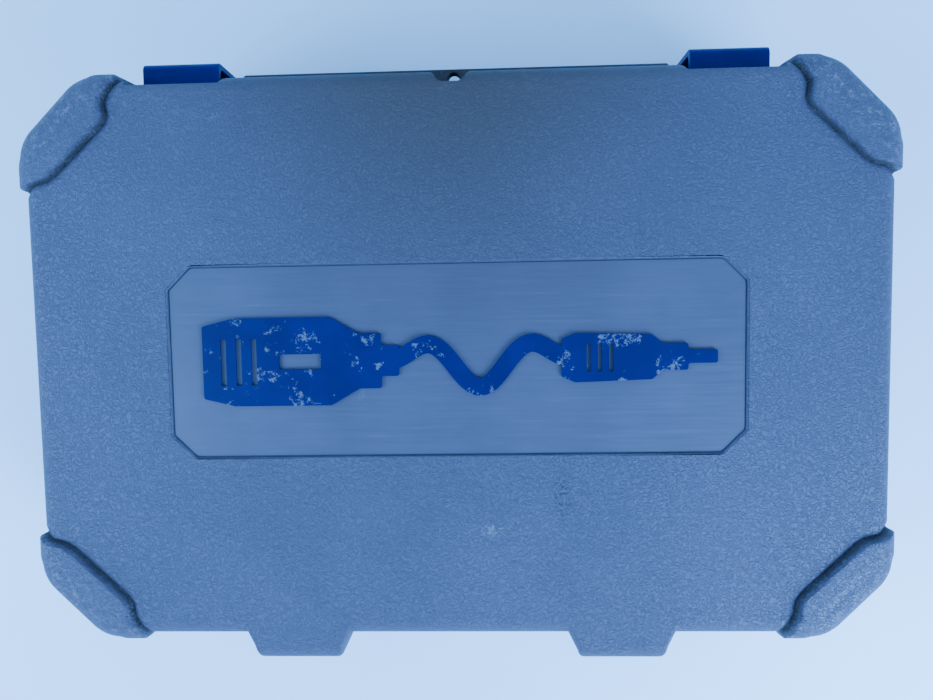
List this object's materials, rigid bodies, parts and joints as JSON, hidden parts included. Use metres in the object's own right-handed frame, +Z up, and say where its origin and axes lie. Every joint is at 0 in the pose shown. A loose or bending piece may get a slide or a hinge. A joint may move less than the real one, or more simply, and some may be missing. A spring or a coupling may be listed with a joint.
{
  "type": "rotary tool kit in carry case",
  "caption": "Moulded carry case with hinged lid, latches and folding handle, holding a rotary tool and its flexible shaft in a fitted tray.",
  "frame": {"origin": "centre of the bounding box in plan, on the plane of the base's four corner pads", "axes": "+Z up through the lid, +X along the hinge line to the right, +Y towards the latches and the handle"},
  "size_m": [0.3992, 0.284, 0.1],
  "materials": {
    "case_plastic": "grained",
    "latch_plastic": "satin",
    "emblem_paint": "worn paint",
    "tray_plastic": "vacuum formed",
    "box_plastic": "frosted",
    "tool_plastic": "fine grain",
    "control_plastic": "satin",
    "soft_rubber": "matte",
    "steel": "plated",
    "laminated_iron": "varnished",
    "copper": "turned",
    "carbon": "pressed",
    "grinding_grit": "rough",
    "abrasive_paper": "rough",
    "felt": "felted"
  },
  "bodies": {
    "case": {"base_shell": "case_plastic", "latch_pin_left": "steel", "latch_pin_right": "steel", "handle_pin_left": "steel", "handle_pin_right": "steel", "hinge_pin_left": "steel", "hinge_pin_right": "steel", "tool_tray": "tray_plastic", "accessory_box": "box_plastic", "grinding_stone": "grinding_grit", "sanding_drum": "abrasive_paper", "polishing_wheel": "felt", "wire_wheel": "steel", "cutting_disc": "abrasive_paper", "drill_bit": "steel", "collet_wrench": "steel", "nose_cap": "tool_plastic", "collet_nut": "steel", "housing_half_front": "tool_plastic", "housing_half_rear": "tool_plastic", "tail_cap": "tool_plastic", "cord_gland": "soft_rubber", "rear_bearing": "steel", "rear_bearing_plate": "tray_plastic", "stator": "laminated_iron", "front_bearing": "steel", "nose_collar": "steel", "brush_front": "carbon", "brush_rear": "carbon", "brush_cap_front": "soft_rubber", "brush_cap_rear": "soft_rubber", "coupling_nut": "steel", "sheath_sleeve_tool": "soft_rubber", "flex_sheath": "soft_rubber", "sheath_sleeve_handpiece": "soft_rubber", "handpiece_body": "tool_plastic", "handpiece_bearing_rear": "steel", "handpiece_bearing_front": "steel"},
    "lid": {"lid_shell": "case_plastic", "lid_emblem": "emblem_paint"},
    "latch_left": {"latch_left": "latch_plastic"},
    "latch_right": {"latch_right": "latch_plastic"},
    "handle": {"carry_handle": "case_plastic"},
    "box_cover": {"accessory_box_cover": "box_plastic"},
    "motor_spindle": {"motor_shaft": "steel", "commutator": "copper", "armature": "laminated_iron", "cooling_fan": "tray_plastic", "drive_socket": "steel", "drive_tip": "steel"},
    "handpiece_spindle": {"handpiece_spindle": "steel", "handpiece_collet_nut": "steel", "carving_burr": "steel"},
    "speed_dial": {"speed_dial": "control_plastic"},
    "power_switch": {"power_switch": "control_plastic"},
    "spindle_lock": {"spindle_lock_button": "control_plastic"},
    "hanging_ring": {"hanging_ring": "steel"}
  },
  "joints": [
    {"name": "lid_hinge", "type": "hinge", "parent": "case", "child": "lid", "pos_m": [0, -0.1355, 0.05], "axis": [1, 0, 0], "range_deg": [0, 105]},
    {"name": "latch_left_swing", "type": "hinge", "parent": "case", "child": "latch_left", "pos_m": [-0.128, 0.1355, 0.032], "axis": [-1, 0, 0], "range_deg": [0, 100]},
    {"name": "latch_right_swing", "type": "hinge", "parent": "case", "child": "latch_right", "pos_m": [0.128, 0.1355, 0.032], "axis": [-1, 0, 0], "range_deg": [0, 100]},
    {"name": "handle_swing", "type": "hinge", "parent": "case", "child": "handle", "pos_m": [0, 0.1366, 0.0412], "axis": [1, 0, 0], "range_deg": [0, 90]},
    {"name": "box_cover_slide", "type": "slide", "parent": "case", "child": "box_cover", "axis": [1, 0, 0], "range_m": [0, 0.06]},
    {"name": "motor_spin", "type": "hinge", "parent": "case", "child": "motor_spindle", "pos_m": [0, 0.058, 0.0445], "axis": [1, 0, 0], "continuous": true},
    {"name": "handpiece_spin", "type": "hinge", "parent": "case", "child": "handpiece_spindle", "pos_m": [0, 0.106, 0.0445], "axis": [1, 0, 0], "continuous": true},
    {"name": "speed_dial_turn", "type": "hinge", "parent": "case", "child": "speed_dial", "pos_m": [-0.08, 0.058, 0.065], "axis": [0, 1, 0], "range_deg": [0, 270]},
    {"name": "power_switch_slide", "type": "slide", "parent": "case", "child": "power_switch", "axis": [1, 0, 0], "range_m": [0, 0.009]},
    {"name": "spindle_lock_press", "type": "slide", "parent": "case", "child": "spindle_lock", "axis": [0, 0, -1], "range_m": [0, 0.003], "stiffness_N_per_m": 200, "springref_m": -0.001},
    {"name": "hanging_ring_swing", "type": "hinge", "parent": "case", "child": "hanging_ring", "pos_m": [-0.0975, 0.058, 0.0475], "axis": [0, -1, 0], "range_deg": [0, 80]}
  ],
  "couplings": [
    {"joint": "handpiece_spin", "follows": "motor_spin", "ratio": 1}
  ]
}
